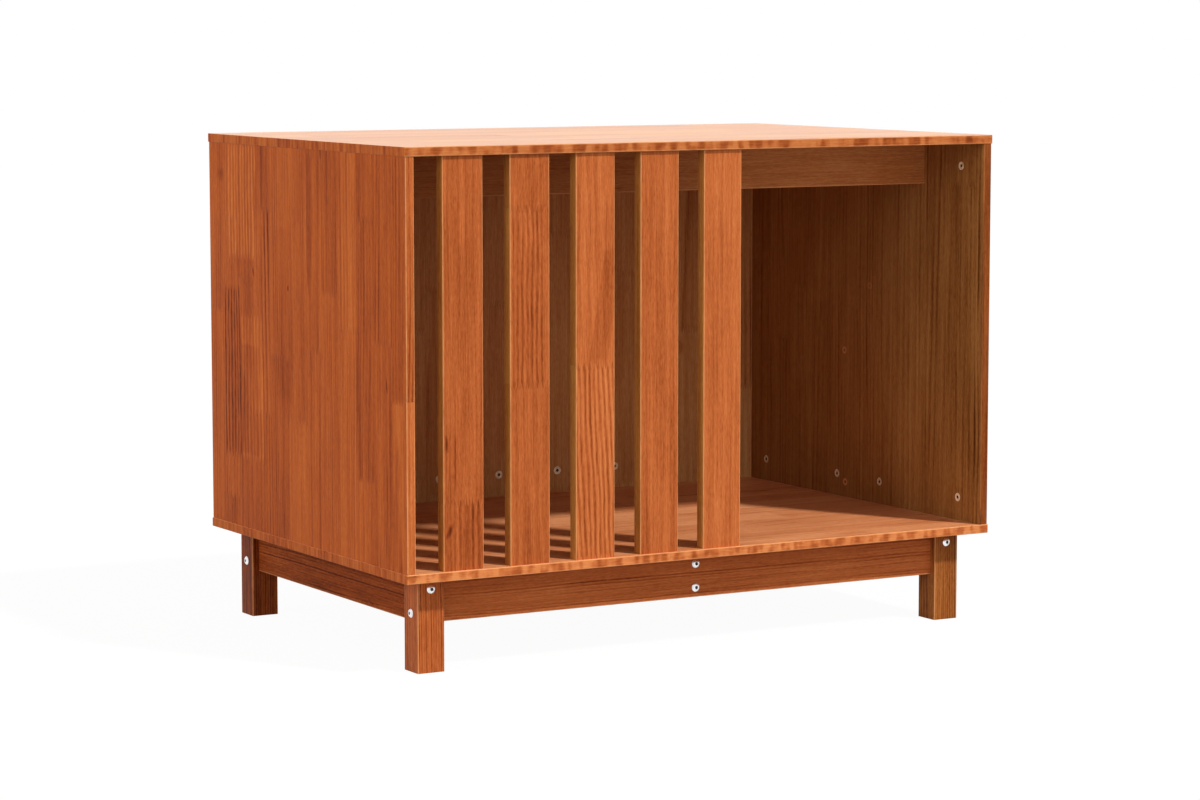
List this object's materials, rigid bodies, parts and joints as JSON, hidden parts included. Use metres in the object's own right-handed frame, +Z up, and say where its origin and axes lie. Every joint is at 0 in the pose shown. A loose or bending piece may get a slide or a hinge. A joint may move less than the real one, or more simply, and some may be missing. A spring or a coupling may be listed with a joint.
{
  "type": "dog crate end table",
  "caption": "Low stained-pine end table with an open dog cabin inside, a slatted front beside a doorway, on a railed four-leg base.",
  "frame": {"origin": "on the floor, under the middle of the box", "axes": "+X to the right along the slatted front, -Y out of the front and +Z up"},
  "size_m": [0.9, 0.6, 0.67],
  "materials": {
    "panel_wood": "orange-brown stained and lacquered pine, edge-glued staves, satin",
    "slat_wood": "orange-brown stained and lacquered solid pine, satin",
    "rail_wood": "brown stained and lacquered solid pine, satin",
    "leg_wood": "brown stained and lacquered solid pine, satin",
    "dowel_wood": "bare fluted beech",
    "bolt_steel": "bright zinc-plated steel",
    "nut_steel": "zinc-plated steel",
    "cam_zinc": "die-cast zinc, dull",
    "pin_steel": "zinc-plated steel",
    "screw_steel": "yellow zinc-plated steel"
  },
  "bodies": {
    "root": {"top_panel": "panel_wood", "bottom_panel": "panel_wood", "left_side_panel": "panel_wood", "right_side_panel": "panel_wood", "back_panel": "panel_wood", "slat_1": "slat_wood", "slat_2": "slat_wood", "slat_3": "slat_wood", "slat_4": "slat_wood", "slat_5": "slat_wood", "top_rail": "rail_wood", "leg_front_left": "leg_wood", "leg_front_right": "leg_wood", "leg_rear_left": "leg_wood", "leg_rear_right": "leg_wood", "base_rail_front": "rail_wood", "base_rail_rear": "rail_wood", "base_rail_left": "rail_wood", "base_rail_right": "rail_wood", "base_rail_centre": "rail_wood", "long_rail_bolts": "bolt_steel", "side_rail_bolts": "bolt_steel", "centre_rail_bolts": "bolt_steel", "leg_joint_nuts": "nut_steel", "centre_rail_nuts": "nut_steel", "left_cam_locks": "cam_zinc", "right_cam_locks": "cam_zinc", "back_cam_locks": "cam_zinc", "side_cam_pins": "pin_steel", "back_cam_pins": "pin_steel", "side_panel_dowels": "dowel_wood", "slat_dowels": "dowel_wood", "top_rail_dowels": "dowel_wood", "base_dowels": "dowel_wood", "base_screws": "screw_steel"}
  },
  "joints": []
}
